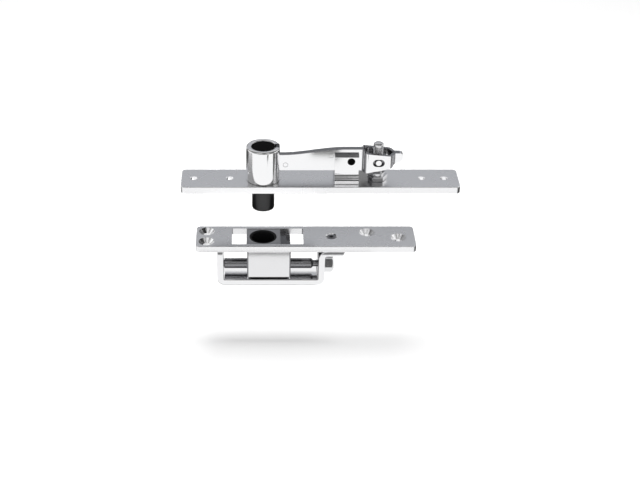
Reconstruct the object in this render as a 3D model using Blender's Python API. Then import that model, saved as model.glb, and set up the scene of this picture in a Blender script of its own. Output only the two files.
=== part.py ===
"""Door top pivot: a header unit with a retractable pivot pin, and the door unit that takes the pin.

Units are metres, +Z is up and +X runs along both plates. The pivot axis is the Z axis, and Z = 0 is the
underside of the frame plate, which lies flush with the underside of the header. The two units are shown
apart, as they are before the door is hung: the pin stands over the bearing that it will drop into.
"""

from math import atan2, cos, pi, sin, tan

import bmesh
import bpy
from mathutils import Matrix, Vector

MM = 0.001

# Fineness of the bends in the lever's sheets
BEND_STEPS = 4

# Fits between pieces
GAP = 0.3 * MM
THREAD_FIT = 0.3 * MM

# Frame plate, measured from the pivot axis
FRAME_LEFT = 65.6 * MM
FRAME_RIGHT = 156.0 * MM
FRAME_WIDTH = 31.0 * MM
FRAME_THICKNESS = 6.0 * MM
PLATE_CORNER = 3.5 * MM
PLATE_EDGE = 0.5 * MM
FRAME_HOLE_RADIUS = 3.0 * MM
FRAME_SINK_RADIUS = 6.0 * MM
FRAME_HOLE_LEFT_INSET = 10.0 * MM
FRAME_HOLE_LEFT_PITCH = 28.8 * MM
FRAME_HOLE_RIGHT_INSET = 11.5 * MM
FRAME_HOLE_RIGHT_PITCH = 18.0 * MM

# Pivot pin and the sleeve that guides it
PIN_RADIUS = 9.0 * MM
PIN_REACH = 20.0 * MM
PIN_BELOW_RIM = 0.8 * MM
PIN_CHAMFER = 1.0 * MM
MORTISE_ROOF = 18.5 * MM
MORTISE_BACK = 7.3 * MM
PIN_FIT = 0.35 * MM
SLEEVE_WALL = 4.25 * MM
SLEEVE_HEIGHT = 29.0 * MM
SLEEVE_OUTER_CHAMFER = 1.0 * MM
SLEEVE_INNER_CHAMFER = 0.8 * MM
SLEEVE_SPIGOT_WALL = 2.2 * MM
CROSS_PIN_RADIUS = 2.0 * MM
CROSS_PIN_HEIGHT = 12.5 * MM
CROSS_PIN_INSET = 0.3 * MM

# Lever: two pressed sheets back to back. Heights are above the frame plate
LEVER_SHEET = 2.5 * MM
LEVER_LOW = 8.5 * MM
LEVER_TONGUE_HIGH = 16.5 * MM
LEVER_ARM_START_HIGH = 21.9 * MM
LEVER_HIGH = 26.7 * MM
LEVER_TONGUE_END = 5.6 * MM
LEVER_SHOULDER = 10.2 * MM
LEVER_ARM_START = 15.2 * MM
LEVER_RISE_END = 64.5 * MM
LEVER_TILT = 15.0 * pi / 180
LEVER_SLOT_PLAY = 0.4 * MM
LEVER_SLOT_RUN = 1.2 * MM
FULCRUM_X = 69.5 * MM
FULCRUM_HEIGHT = 17.8 * MM
FULCRUM_PIN_RADIUS = 2.8 * MM
SHEET_BEND = 1.2 * MM
TONGUE_CORNER = 2.0 * MM
CAGE_LOW_CORNER = 4.0 * MM
CAGE_TAPER_CORNER = 6.0 * MM
CAGE_TOP_CORNER = 1.0 * MM

# Cage that the two sheets form round the trunnion nut
CAGE_HALF_DEPTH = 8.5 * MM
CAGE_AHEAD = 10.0 * MM
CAGE_RAMP_IN = 1.7 * MM
CAGE_LENGTH = 19.2 * MM
CAGE_RAMP_OUT = 2.8 * MM
CAGE_START_HIGH = 25.4 * MM
CAGE_END_LOW = 12.6 * MM
CAGE_END_HIGH = 23.4 * MM
TAB_LENGTH = 7.6 * MM
TAB_RADIUS = 3.0 * MM
TAB_CORNER = 2.9 * MM
TAB_HEIGHT = 20.3 * MM

# Rivets through the lever: distance from the pivot axis and height
LEVER_RIVETS = {"near": (17.6 * MM, 13.2 * MM), "middle": (53.6 * MM, 21.4 * MM)}
RIVET_RADIUS = 1.7 * MM

# Fulcrum brackets: a pair of rolled angles welded to the plate
BRACKET_LENGTH = 19.0 * MM
BRACKET_AHEAD = 13.0 * MM
BRACKET_SHEET = 3.4 * MM
BRACKET_HEIGHT = 23.6 * MM
BRACKET_FOOT = 8.1 * MM
BRACKET_ROOT = 4.0 * MM
BRACKET_CORNER = 1.2 * MM
BRACKET_CROWN = 2.8 * MM
BRACKET_INNER_CORNER = 0.4 * MM

# Trunnion nut and the screw that drives it
ARM_TO_SCREW = 21.5 * MM
TRUNNION_DROP = 0.3 * MM
JOURNAL_RADIUS = 2.8 * MM
JOURNAL_SLOT_RUN = 1.5 * MM
JOURNAL_SLOT_PLAY = 0.35 * MM
NUT_LENGTH = 13.0 * MM
NUT_HEIGHT = 8.0 * MM
NUT_EDGE = 1.0 * MM
SCREW_RADIUS = 4.0 * MM
SCREW_TOP = 32.0 * MM
SCREW_DOME = 1.6 * MM
SCREW_HEAD_RADIUS = 6.0 * MM
SCREW_HEAD_HEIGHT = 3.6 * MM
SCREW_SOCKET_RADIUS = 2.9 * MM
SCREW_SOCKET_DEPTH = 4.0 * MM
COLLAR_HEX_RADIUS = 8.1 * MM
COLLAR_HEX_HEIGHT = 3.7 * MM
COLLAR_HUB_RADIUS = 5.4 * MM
COLLAR_HEIGHT = 5.4 * MM
RING_RADIUS = 6.0 * MM
RING_THICKNESS = 0.9 * MM

# Door plate, from the pivot axis. Depths in the door unit are below its top face
UNITS_APART = 47.7 * MM
DOOR_LEFT = 54.9 * MM
DOOR_RIGHT = 124.4 * MM
DOOR_WIDTH = 33.6 * MM
DOOR_THICKNESS = 5.5 * MM
DOOR_HOLE_RADIUS = 3.0 * MM
DOOR_SINK_RADIUS = 6.4 * MM
DOOR_HOLE_LEFT_INSET = 8.7 * MM
DOOR_HOLE_LEFT_SPREAD = 16.4 * MM
DOOR_HOLE_RIGHT_INSET = 13.6 * MM
DOOR_HOLE_RIGHT_PITCH = 25.3 * MM
DOOR_HOLE_INNER_Y = 6.4 * MM
DOOR_HOLE_OUTER_Y = -1.8 * MM
WINDOW_LEFT = 25.5 * MM
WINDOW_RIGHT = 33.0 * MM
WINDOW_WIDTH = 25.6 * MM
WINDOW_CORNER = 1.0 * MM

# Bearing block: its tongue stands in the window
TONGUE_LEFT = 13.5 * MM
TONGUE_RIGHT = 14.2 * MM
LEDGE_LENGTH = 4.9 * MM
LEDGE_DROP = 3.2 * MM
BLOCK_LEFT = 13.1 * MM
BLOCK_RIGHT = 22.6 * MM
BLOCK_WIDTH = 29.0 * MM
BLOCK_BOTTOM = 31.1 * MM
BLOCK_EDGE = 1.2 * MM
BUSH_WALL = 1.45 * MM
BUSH_FIT = 0.3 * MM
BUSH_DEPTH = 18.7 * MM
BUSH_CHAMFER = 0.6 * MM

# Strap under the door plate, and the spindle that it carries
STRAP_LEFT = 37.8 * MM
STRAP_RIGHT = 50.6 * MM
STRAP_FOOT_END = 66.7 * MM
STRAP_WIDTH = 29.0 * MM
STRAP_THICKNESS = 5.5 * MM
STRAP_BOTTOM = 38.5 * MM
STRAP_BEND = 1.0 * MM
STRAP_FOOT_BEND = 2.2 * MM
STRAP_TOE_RADIUS = 3.6 * MM
STRAP_EDGE = 1.0 * MM
STRAP_SCREW_X = 56.0 * MM
STRAP_SCREW_RADIUS = 2.0 * MM
STRAP_SCREW_HEAD_RADIUS = 3.9 * MM
STRAP_SCREW_SOCKET = 1.8 * MM
SPINDLE_DEPTH = 25.6 * MM
SPINDLE_RADIUS = 4.25 * MM
SPINDLE_NECK_RADIUS = 2.75 * MM
SPINDLE_NECK_LENGTH = 4.1 * MM
SPINDLE_CHAMFER = 0.8 * MM
SPINDLE_HEAD_RADIUS = 7.5 * MM
SPINDLE_HEAD_LENGTH = 7.5 * MM
SPINDLE_HEAD_END = 5.0 * MM

# Finishes: base colour, roughness and metallic value
POLISHED = ((0.72, 0.73, 0.74), 0.16, 1.0)
SATIN = ((0.66, 0.67, 0.68), 0.3, 1.0)
STEEL = ((0.58, 0.59, 0.6), 0.25, 1.0)
BLACK = ((0.02, 0.02, 0.022), 0.45, 0.3)
CUTTER = ((0.8, 0.3, 0.1), 0.8, 0.0)

# Places and sizes that follow from the ones above
PLATE_TOP = FRAME_THICKNESS
SEAT = PLATE_TOP + GAP
SLEEVE_BORE = PIN_RADIUS + PIN_FIT
SLEEVE_RADIUS = SLEEVE_BORE + SLEEVE_WALL
LEVER_HALF = GAP / 2 + LEVER_SHEET
SCREW_X = FULCRUM_X + ARM_TO_SCREW
FULCRUM_Z = PLATE_TOP + FULCRUM_HEIGHT
PIN_TOP = PLATE_TOP + SLEEVE_HEIGHT - PIN_BELOW_RIM
CROSS_PIN_Z = PLATE_TOP + CROSS_PIN_HEIGHT
TRUNNION_Z = FULCRUM_Z - TRUNNION_DROP
CAGE_START = FULCRUM_X + CAGE_AHEAD
TAB_END = CAGE_START + CAGE_RAMP_IN + CAGE_LENGTH + CAGE_RAMP_OUT + TAB_LENGTH
DOOR_TOP = -UNITS_APART
DOOR_UNDER = DOOR_TOP - DOOR_THICKNESS
SPINDLE_Z = DOOR_TOP - SPINDLE_DEPTH
STRAP_LEFT_INNER = STRAP_LEFT - STRAP_THICKNESS
STRAP_RIGHT_INNER = STRAP_RIGHT - STRAP_THICKNESS
BUSH_BORE = PIN_RADIUS + PIN_FIT
BUSH_RADIUS = BUSH_BORE + BUSH_WALL


def clear_scene():
    for obj in list(bpy.data.objects):
        bpy.data.objects.remove(obj, do_unlink=True)


def make_material(name, finish):
    colour, roughness, metallic = finish
    material = bpy.data.materials.new(name)
    material.use_nodes = True
    shader = material.node_tree.nodes["Principled BSDF"]
    shader.inputs["Base Color"].default_value = (*colour, 1.0)
    shader.inputs["Roughness"].default_value = roughness
    shader.inputs["Metallic"].default_value = metallic
    return material


def add_object(name, bm, finish):
    """Turns a bmesh into a linked object with its faces pointing outwards."""
    bmesh.ops.recalc_face_normals(bm, faces=bm.faces)
    mesh = bpy.data.meshes.new(name)
    bm.to_mesh(mesh)
    bm.free()
    mesh.shade_smooth()
    mesh.set_sharp_from_angle(angle=pi / 6)
    mesh.materials.append(make_material(name, finish))
    obj = bpy.data.objects.new(name, mesh)
    bpy.context.scene.collection.objects.link(obj)
    return obj


def fillet(corners, steps=6):
    """Outline of (u, v, radius) corners, with an arc of that radius at each corner."""
    points = []
    for index, (u, v, radius) in enumerate(corners):
        here = Vector((u, v))
        before = Vector(corners[index - 1][:2]) - here
        after = Vector(corners[(index + 1) % len(corners)][:2]) - here
        if radius <= 0:
            points.append((u, v))
            continue
        before.normalize()
        after.normalize()
        half = before.angle(after) / 2
        setback = radius / tan(half)
        centre = here + (before + after).normalized() * (radius / sin(half))
        first = here + before * setback - centre
        last = here + after * setback - centre
        start = atan2(first.y, first.x)
        turn = (atan2(last.y, last.x) - start + pi) % (2 * pi) - pi
        for step in range(steps + 1):
            angle = start + turn * step / steps
            points.append((centre.x + radius * cos(angle), centre.y + radius * sin(angle)))
    return points


def strip(path, thickness):
    """Corners of a bent strip. The path is its middle line, as (u, v, inner bend radius) corners."""
    sides = []
    for side in (1, -1):
        offset = side * thickness / 2
        corners = []
        for index, (u, v, bend) in enumerate(path):
            here = Vector((u, v))
            into = (here - Vector(path[index - 1][:2])).normalized() if index else None
            out = (Vector(path[index + 1][:2]) - here).normalized() if index < len(path) - 1 else None
            into = into or out
            out = out or into
            normal = Vector((-into.y - out.y, into.x + out.x)).normalized()
            reach = offset / normal.dot(Vector((-into.y, into.x)))
            corner = here + normal * reach
            left_turn = into.cross(out) > 0
            inner = left_turn == (side > 0)
            sharp = index in (0, len(path) - 1)
            radius = 0 if sharp else bend if inner else bend + thickness
            corners.append((corner.x, corner.y, radius))
        sides.append(corners if side > 0 else corners[::-1])
    return sides[0] + sides[1]


def slot(u, v, half_length, radius, steps=10):
    """Outline of a slot with round ends, its length along u."""
    points = []
    for side, start in ((1, -pi / 2), (-1, pi / 2)):
        for step in range(steps + 1):
            angle = start + pi * step / steps
            points.append((u + side * half_length + radius * cos(angle), v + radius * sin(angle)))
    return points


def polygon(u, v, radius, sides, turn=0.0):
    """Outline of a regular polygon, by its corner radius."""
    angles = [turn + 2 * pi * side / sides for side in range(sides)]
    return [(u + radius * cos(angle), v + radius * sin(angle)) for angle in angles]


def on_axis(axis, u, v, along):
    """The point (u, v) of an outline that is drawn across the given axis."""
    if axis == "X":
        return Vector((along, u, v))
    if axis == "Y":
        return Vector((u, along, v))
    return Vector((u, v, along))


def extrude(name, outline, axis, low, high, finish):
    """A prism: the outline is extruded along the axis from low to high."""
    bm = bmesh.new()
    corners = [bm.verts.new(on_axis(axis, u, v, low)) for u, v in outline]
    face = bm.faces.new(corners)
    grown = bmesh.ops.extrude_face_region(bm, geom=[face])["geom"]
    top = [item for item in grown if isinstance(item, bmesh.types.BMVert)]
    bmesh.ops.translate(bm, verts=top, vec=on_axis(axis, 0, 0, high - low))
    return add_object(name, bm, finish)


def turn(name, profile, axis, centre, segments, finish):
    """A turned piece: the closed profile of (radius, place along the axis) is spun about the axis."""
    bm = bmesh.new()
    spin_axis = on_axis(axis, 0, 0, 1)
    across = Vector((1, 0, 0)) if axis != "X" else Vector((0, 1, 0))
    base = Vector(centre)
    verts = [bm.verts.new(base + across * radius + spin_axis * along) for radius, along in profile]
    edges = [bm.edges.new((verts[i - 1], verts[i])) for i in range(len(verts))]
    on_centre = [e for e in edges if all(abs((v.co - base).dot(across)) < 1e-9 for v in e.verts)]
    for edge in on_centre:
        edges.remove(edge)
        bm.edges.remove(edge)
    bmesh.ops.spin(
        bm, geom=verts + edges, cent=base, axis=spin_axis, angle=2 * pi, steps=segments, use_merge=True
    )
    bmesh.ops.remove_doubles(bm, verts=bm.verts, dist=1e-7)
    return add_object(name, bm, finish)


def bevel(obj, width, segments=2):
    modifier = obj.modifiers.new("edge", "BEVEL")
    modifier.width = width
    modifier.segments = segments
    modifier.limit_method = "ANGLE"
    modifier.angle_limit = pi / 6
    return obj


def combine(obj, tool, operation):
    """Adds the tool to the object or cuts it away, and keeps the tool as a hidden guide."""
    modifier = obj.modifiers.new(tool.name, "BOOLEAN")
    modifier.operation = operation
    modifier.solver = "EXACT"
    modifier.object = tool
    tool.hide_render = True
    tool.display_type = "WIRE"
    return obj


def cut(obj, *tools):
    for tool in tools:
        combine(obj, tool, "DIFFERENCE")
    return obj


def pivot(name, x, y, z):
    """An empty on a joint's axis, which the moving pieces are parented to."""
    empty = bpy.data.objects.new(name, None)
    empty.empty_display_size = 5 * MM
    empty.location = (x, y, z)
    bpy.context.scene.collection.objects.link(empty)
    return empty


def carry(empty, *objects):
    for obj in objects:
        obj.parent = empty
        obj.matrix_parent_inverse = Matrix.Translation(-empty.location)


def drill(name, x, y, radius, low, high, segments=24):
    """A cutter for a straight hole along Z."""
    return extrude(name, polygon(x, y, radius, segments), "Z", low, high, CUTTER)


def countersink(name, x, y, radius, sink_radius, mouth, floor, segments=24):
    """A cutter for a screw hole with a 90 degree countersink at the mouth."""
    into = 1 if floor > mouth else -1
    over = PLATE_CORNER
    profile = [
        (0, mouth - into * over),
        (sink_radius, mouth - into * over),
        (sink_radius, mouth),
        (radius, mouth + into * (sink_radius - radius)),
        (radius, floor + into * over),
        (0, floor + into * over),
    ]
    return turn(name, profile, "Z", (x, y, 0), segments, CUTTER)


def frame_plate():
    half = FRAME_WIDTH / 2
    corners = ((-FRAME_LEFT, -half), (FRAME_RIGHT, -half), (FRAME_RIGHT, half), (-FRAME_LEFT, half))
    outline = fillet([(x, y, PLATE_CORNER) for x, y in corners])
    plate = extrude("frame_plate", outline, "Z", 0, FRAME_THICKNESS, POLISHED)
    plate.data.shade_flat()
    bevel(plate, PLATE_EDGE)
    left = FRAME_HOLE_LEFT_INSET - FRAME_LEFT
    right = FRAME_RIGHT - FRAME_HOLE_RIGHT_INSET
    places = (left, left + FRAME_HOLE_LEFT_PITCH, right - FRAME_HOLE_RIGHT_PITCH, right)
    for number, x in enumerate(places, 1):
        name = f"frame_screw_hole_{number}"
        cut(plate, countersink(name, x, 0, FRAME_HOLE_RADIUS, FRAME_SINK_RADIUS, 0, FRAME_THICKNESS))
    spigot = SLEEVE_BORE + SLEEVE_SPIGOT_WALL + GAP
    head = SCREW_HEAD_RADIUS + GAP
    shank = SCREW_RADIUS + GAP
    cut(
        plate,
        drill("sleeve_seat", 0, 0, spigot, -GAP, FRAME_THICKNESS + GAP, 48),
        drill("screw_head_seat", SCREW_X, 0, head, -GAP, SCREW_HEAD_HEIGHT + 2 * GAP, 32),
        drill("screw_passage", SCREW_X, 0, shank, 0, FRAME_THICKNESS + GAP, 32),
    )
    return plate


def pin_sleeve():
    """Guide sleeve, with a spigot down through the plate and a slot for the lever, open at the top."""
    top = PLATE_TOP + SLEEVE_HEIGHT
    spigot = SLEEVE_BORE + SLEEVE_SPIGOT_WALL
    profile = [
        (SLEEVE_BORE, GAP),
        (SLEEVE_BORE, top - SLEEVE_INNER_CHAMFER),
        (SLEEVE_BORE + SLEEVE_INNER_CHAMFER, top),
        (SLEEVE_RADIUS - SLEEVE_OUTER_CHAMFER, top),
        (SLEEVE_RADIUS, top - SLEEVE_OUTER_CHAMFER),
        (SLEEVE_RADIUS, SEAT),
        (spigot, SEAT),
        (spigot, GAP),
    ]
    sleeve = turn("pin_sleeve", profile, "Z", (0, 0, 0), 64, POLISHED)
    half = LEVER_HALF + 2 * GAP
    low = PLATE_TOP + LEVER_LOW - 3 * GAP
    outline = ((0, low), (2 * SLEEVE_RADIUS, low), (2 * SLEEVE_RADIUS, top + GAP), (0, top + GAP))
    return cut(sleeve, extrude("lever_slot", outline, "Y", -half, half, CUTTER))


def pivot_pin():
    """The pin, mortised for the lever's tongue, and the cross pin that the tongue lifts."""
    top = PIN_TOP
    low = -PIN_REACH
    rim = PIN_CHAMFER
    profile = [
        (0, low),
        (PIN_RADIUS - rim, low),
        (PIN_RADIUS, low + rim),
        (PIN_RADIUS, top - rim),
        (PIN_RADIUS - rim, top),
        (0, top),
    ]
    pin = turn("pivot_pin", profile, "Z", (0, 0, 0), 48, BLACK)
    half = LEVER_HALF + GAP
    floor = PLATE_TOP + LEVER_LOW - PIN_RADIUS * tan(LEVER_TILT) - 3 * GAP
    roof = PLATE_TOP + MORTISE_ROOF
    reach = PIN_RADIUS + GAP
    outline = ((-MORTISE_BACK, floor), (reach, floor), (reach, roof), (-MORTISE_BACK, roof))
    mortise = extrude("pin_mortise", outline, "Y", -half, half, CUTTER)
    hole = polygon(0, CROSS_PIN_Z, CROSS_PIN_RADIUS + THREAD_FIT, 24)
    cut(pin, mortise, extrude("cross_pin_hole", hole, "Y", -reach, reach, CUTTER))
    end = PIN_RADIUS - CROSS_PIN_INSET
    rod = polygon(0, CROSS_PIN_Z, CROSS_PIN_RADIUS, 24)
    cross_pin = extrude("pivot_cross_pin", rod, "Y", -end, end, STEEL)
    carry(pivot("pin_slide_axis", 0, 0, 0), pin, cross_pin)


def lever_outline():
    """Side view of the lever's blank, from the tongue in the pin to the rounded tab."""
    low = PLATE_TOP + LEVER_LOW
    high = PLATE_TOP + LEVER_HIGH
    start = PLATE_TOP + LEVER_ARM_START_HIGH
    cage_start = CAGE_START + CAGE_RAMP_IN
    cage_end = cage_start + CAGE_LENGTH
    tab = PLATE_TOP + TAB_HEIGHT
    rise = []
    steps = 8
    for step in range(1, steps):
        part = step / steps
        ease = part * part * (3 - 2 * part)
        x = LEVER_ARM_START + (LEVER_RISE_END - LEVER_ARM_START) * part
        rise.append((x, start + (high - start) * ease, 0))
    tongue_high = PLATE_TOP + LEVER_TONGUE_HIGH
    return fillet(
        [
            (-LEVER_TONGUE_END, low, TONGUE_CORNER),
            (cage_start, low, CAGE_LOW_CORNER),
            (cage_end, PLATE_TOP + CAGE_END_LOW, CAGE_TAPER_CORNER),
            (TAB_END, tab - TAB_RADIUS, TAB_CORNER),
            (TAB_END, tab + TAB_RADIUS, TAB_CORNER),
            (cage_end, PLATE_TOP + CAGE_END_HIGH, CAGE_TAPER_CORNER),
            (cage_start, PLATE_TOP + CAGE_START_HIGH, 0),
            (CAGE_START, high, CAGE_TOP_CORNER),
            (LEVER_RISE_END, high, 0),
            *reversed(rise),
            (LEVER_ARM_START, start, 0),
            (LEVER_SHOULDER, start, 0),
            (LEVER_SHOULDER, tongue_high, 0),
            (-LEVER_TONGUE_END, tongue_high, TONGUE_CORNER),
        ]
    )


def lever_sheet(name, side):
    """One pressed sheet: its bent plan, extruded upwards, is trimmed to the blank's outline."""
    flat = side * (GAP / 2 + LEVER_SHEET / 2)
    cheek = side * (CAGE_HALF_DEPTH - LEVER_SHEET / 2)
    ramp_end = CAGE_START + CAGE_RAMP_IN
    cage_end = ramp_end + CAGE_LENGTH
    plan = strip(
        [
            (-LEVER_TONGUE_END - GAP, flat, 0),
            (CAGE_START, flat, SHEET_BEND),
            (ramp_end, cheek, SHEET_BEND),
            (cage_end, cheek, SHEET_BEND),
            (cage_end + CAGE_RAMP_OUT, flat, SHEET_BEND),
            (cage_end + CAGE_RAMP_OUT + TAB_LENGTH, flat, 0),
        ],
        LEVER_SHEET,
    )
    top = PLATE_TOP + 2 * LEVER_HIGH
    sheet = extrude(name, fillet(plan, BEND_STEPS), "Z", PLATE_TOP, top, POLISHED)
    outer = side * 2 * CAGE_HALF_DEPTH
    low, high = sorted((0, outer))
    blank = extrude(f"{name}_blank", lever_outline(), "Y", low, high, CUTTER)
    combine(sheet, blank, "INTERSECT")
    low, high = sorted((-side * MM, outer))
    lift_slot = slot(0, CROSS_PIN_Z, LEVER_SLOT_RUN, CROSS_PIN_RADIUS + LEVER_SLOT_PLAY)
    journal_slot = slot(SCREW_X, TRUNNION_Z, JOURNAL_SLOT_RUN, JOURNAL_RADIUS + JOURNAL_SLOT_PLAY)
    fulcrum_hole = polygon(FULCRUM_X, FULCRUM_Z, FULCRUM_PIN_RADIUS + THREAD_FIT, 24)
    holes = {"lift_slot": lift_slot, "journal_slot": journal_slot, "fulcrum_hole": fulcrum_hole}
    for label, (x, height) in LEVER_RIVETS.items():
        holes[f"{label}_rivet_hole"] = polygon(x, PLATE_TOP + height, RIVET_RADIUS + THREAD_FIT, 20)
    for label, outline in holes.items():
        cut(sheet, extrude(f"{name}_{label}", outline, "Y", low, high, CUTTER))
    return sheet


def lever():
    axis = pivot("lever_axis", FULCRUM_X, 0, FULCRUM_Z)
    carry(axis, lever_sheet("lever_sheet_front", -1), lever_sheet("lever_sheet_rear", 1))
    for label, (x, height) in LEVER_RIVETS.items():
        shank = polygon(x, PLATE_TOP + height, RIVET_RADIUS, 20)
        rivet = extrude(f"lever_rivet_{label}", shank, "Y", -LEVER_HALF, LEVER_HALF, STEEL)
        carry(axis, rivet)


def fulcrum_brackets():
    """The two angles that hold the fulcrum pin, one each side of the lever."""
    inner = LEVER_HALF + GAP
    face = inner + BRACKET_SHEET
    top = PLATE_TOP + BRACKET_HEIGHT
    foot_top = SEAT + BRACKET_SHEET
    left = FULCRUM_X - BRACKET_AHEAD
    for name, side in (("front", -1), ("rear", 1)):
        section = fillet(
            [
                (side * inner, SEAT, 0),
                (side * (inner + BRACKET_FOOT), SEAT, 0),
                (side * (inner + BRACKET_FOOT), foot_top, BRACKET_INNER_CORNER),
                (side * face, foot_top, BRACKET_ROOT),
                (side * face, top, BRACKET_CROWN),
                (side * inner, top, BRACKET_INNER_CORNER),
            ]
        )
        right = left + BRACKET_LENGTH
        bracket = extrude(f"fulcrum_bracket_{name}", section, "X", left, right, POLISHED)
        low, high = sorted((0, side * FRAME_WIDTH))
        view = fillet(
            [
                (left - GAP, PLATE_TOP, 0),
                (right + GAP, PLATE_TOP, 0),
                (right, foot_top, 0),
                (right, top, BRACKET_CORNER),
                (left, top, BRACKET_CORNER),
                (left, foot_top, 0),
            ]
        )
        combine(bracket, extrude(f"bracket_view_{name}", view, "Y", low, high, CUTTER), "INTERSECT")
        hole = polygon(FULCRUM_X, FULCRUM_Z, FULCRUM_PIN_RADIUS + THREAD_FIT, 24)
        cut(bracket, extrude(f"bracket_hole_{name}", hole, "Y", low, high, CUTTER))
    end = face - GAP
    rod = polygon(FULCRUM_X, FULCRUM_Z, FULCRUM_PIN_RADIUS, 24)
    extrude("fulcrum_pin", rod, "Y", -end, end, BLACK)


def trunnion_nut():
    """Nut block with a journal each side. The adjusting screw runs through it."""
    half_depth = CAGE_HALF_DEPTH - LEVER_SHEET - GAP
    half_length = NUT_LENGTH / 2
    left, right = SCREW_X - half_length, SCREW_X + half_length
    outline = ((left, -half_depth), (right, -half_depth), (right, half_depth), (left, half_depth))
    low = TRUNNION_Z - NUT_HEIGHT / 2
    nut = extrude("trunnion_nut", outline, "Z", low, low + NUT_HEIGHT, STEEL)
    bevel(nut, NUT_EDGE)
    end = CAGE_HALF_DEPTH - GAP / 2
    rod = polygon(SCREW_X, TRUNNION_Z, JOURNAL_RADIUS, 28)
    combine(nut, extrude("journals", rod, "Y", -end, end, CUTTER), "UNION")
    cut(nut, drill("nut_thread", SCREW_X, 0, SCREW_RADIUS + THREAD_FIT, low - GAP, low + NUT_HEIGHT + GAP, 28))
    carry(pivot("trunnion_slide_axis", SCREW_X, 0, TRUNNION_Z), nut)


def adjusting_screw():
    """The screw is turned from below. A ring above the collar keeps it from dropping out."""
    top = PLATE_TOP + SCREW_TOP
    shoulder = GAP + SCREW_HEAD_HEIGHT
    profile = [
        (0, GAP),
        (SCREW_HEAD_RADIUS, GAP),
        (SCREW_HEAD_RADIUS, shoulder),
        (SCREW_RADIUS, shoulder),
        (SCREW_RADIUS, top - SCREW_DOME),
        (SCREW_RADIUS * 0.8, top - SCREW_DOME * 0.4),
        (SCREW_RADIUS * 0.45, top - SCREW_DOME * 0.08),
        (0, top),
    ]
    screw = turn("adjusting_screw", profile, "Z", (SCREW_X, 0, 0), 32, STEEL)
    socket = polygon(SCREW_X, 0, SCREW_SOCKET_RADIUS, 6)
    cut(screw, extrude("screw_socket", socket, "Z", 0, GAP + SCREW_SOCKET_DEPTH, CUTTER))
    bore = SCREW_RADIUS + GAP
    base = SEAT + COLLAR_HEX_HEIGHT
    collar_top = SEAT + COLLAR_HEIGHT
    collar = extrude("screw_collar", polygon(SCREW_X, 0, COLLAR_HEX_RADIUS, 6), "Z", SEAT, base, STEEL)
    bevel(collar, GAP)
    hub = extrude("collar_hub", polygon(SCREW_X, 0, COLLAR_HUB_RADIUS, 32), "Z", SEAT + GAP, collar_top, CUTTER)
    combine(collar, hub, "UNION")
    cut(collar, drill("collar_bore", SCREW_X, 0, bore, PLATE_TOP, collar_top + GAP, 32))
    low = collar_top + GAP
    inner = SCREW_RADIUS + GAP
    section = [
        (inner, low),
        (inner, low + RING_THICKNESS),
        (RING_RADIUS, low + RING_THICKNESS),
        (RING_RADIUS, low),
    ]
    ring = turn("screw_retaining_ring", section, "Z", (SCREW_X, 0, 0), 32, STEEL)
    carry(pivot("adjusting_screw_axis", SCREW_X, 0, 0), screw, ring)


def bearing_bush():
    top = DOOR_TOP - GAP
    low = top - BUSH_DEPTH
    rim = BUSH_CHAMFER
    profile = [
        (BUSH_BORE, low),
        (BUSH_BORE, top - rim),
        (BUSH_BORE + rim, top),
        (BUSH_RADIUS, top),
        (BUSH_RADIUS, low),
    ]
    bush = turn("bearing_bush", profile, "Z", (0, 0, 0), 48, BLACK)
    carry(pivot("door_swing_axis", 0, 0, DOOR_TOP), bush)


def bearing_block():
    """The block that carries the bush. Its tongue stands in the window, and the spindle moves it along."""
    top = DOOR_TOP - GAP
    shoulder = DOOR_UNDER - GAP
    low = DOOR_TOP - BLOCK_BOTTOM
    half = BLOCK_WIDTH / 2
    corners = ((-BLOCK_LEFT, -half), (BLOCK_RIGHT, -half), (BLOCK_RIGHT, half), (-BLOCK_LEFT, half))
    block = extrude("bearing_block", corners, "Z", low, shoulder, SATIN)
    bevel(block, BLOCK_EDGE, 3)
    ledge = top - LEDGE_DROP
    root = shoulder - BLOCK_EDGE * 2
    left = BLOCK_LEFT - BLOCK_EDGE
    view = (
        (-left, root),
        (TONGUE_RIGHT + LEDGE_LENGTH, root),
        (TONGUE_RIGHT + LEDGE_LENGTH, ledge),
        (TONGUE_RIGHT, ledge),
        (TONGUE_RIGHT, top),
        (-TONGUE_LEFT, top),
        (-TONGUE_LEFT, shoulder + GAP),
        (-left, shoulder - BLOCK_EDGE),
    )
    depth = WINDOW_WIDTH / 2 - GAP
    combine(block, extrude("tongue", view, "Y", -depth, depth, CUTTER), "UNION")
    floor = top - BUSH_DEPTH - GAP
    bore = drill("bush_bore", 0, 0, BUSH_RADIUS + BUSH_FIT, floor, top + GAP, 48)
    thread = polygon(0, SPINDLE_Z, SPINDLE_RADIUS + THREAD_FIT, 28)
    through = extrude("spindle_thread", thread, "X", -BLOCK_LEFT - GAP, BLOCK_RIGHT + GAP, CUTTER)
    cut(block, bore, through)
    carry(pivot("block_axis", 0, 0, DOOR_TOP), block)


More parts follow.
